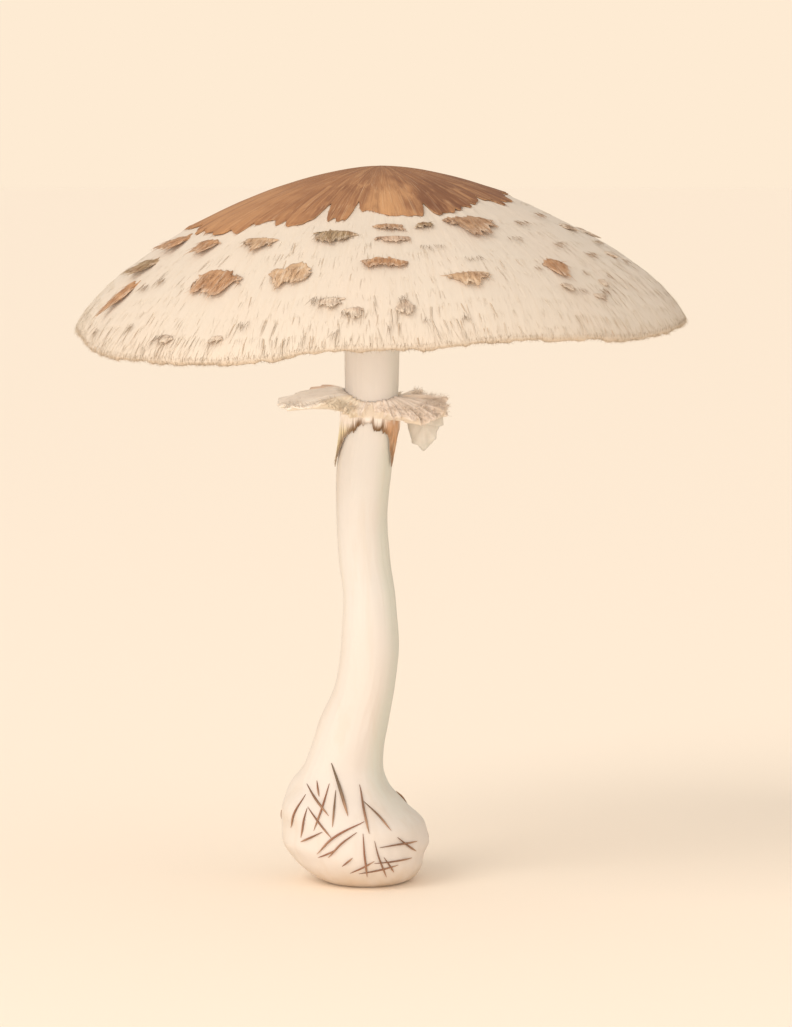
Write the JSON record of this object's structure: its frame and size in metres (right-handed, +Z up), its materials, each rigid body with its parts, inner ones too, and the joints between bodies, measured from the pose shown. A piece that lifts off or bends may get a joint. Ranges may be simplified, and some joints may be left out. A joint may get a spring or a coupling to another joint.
{
  "type": "shaggy parasol mushroom",
  "caption": "Picked shaggy parasol mushroom: broad gilled cap with a brown crown and torn shaggy scales, a ragged ring on the stem and a bulb with dry needles stuck to it.",
  "frame": {"origin": "middle of the small flat spot under the bulb, on which the mushroom stands", "axes": "+Z up towards the cap's crown; +X to the viewer's right, the side that the ring's loose flap hangs on; -Y faces the viewer and +Y is the back"},
  "size_m": [0.1489, 0.149, 0.1774],
  "materials": {
    "cap": "matte",
    "crown": "matte",
    "ring": "matte",
    "stem": "matte"
  },
  "bodies": {
    "root": {"cap": "cap", "crown": "crown", "ring": "ring", "stem": "stem"}
  },
  "joints": []
}
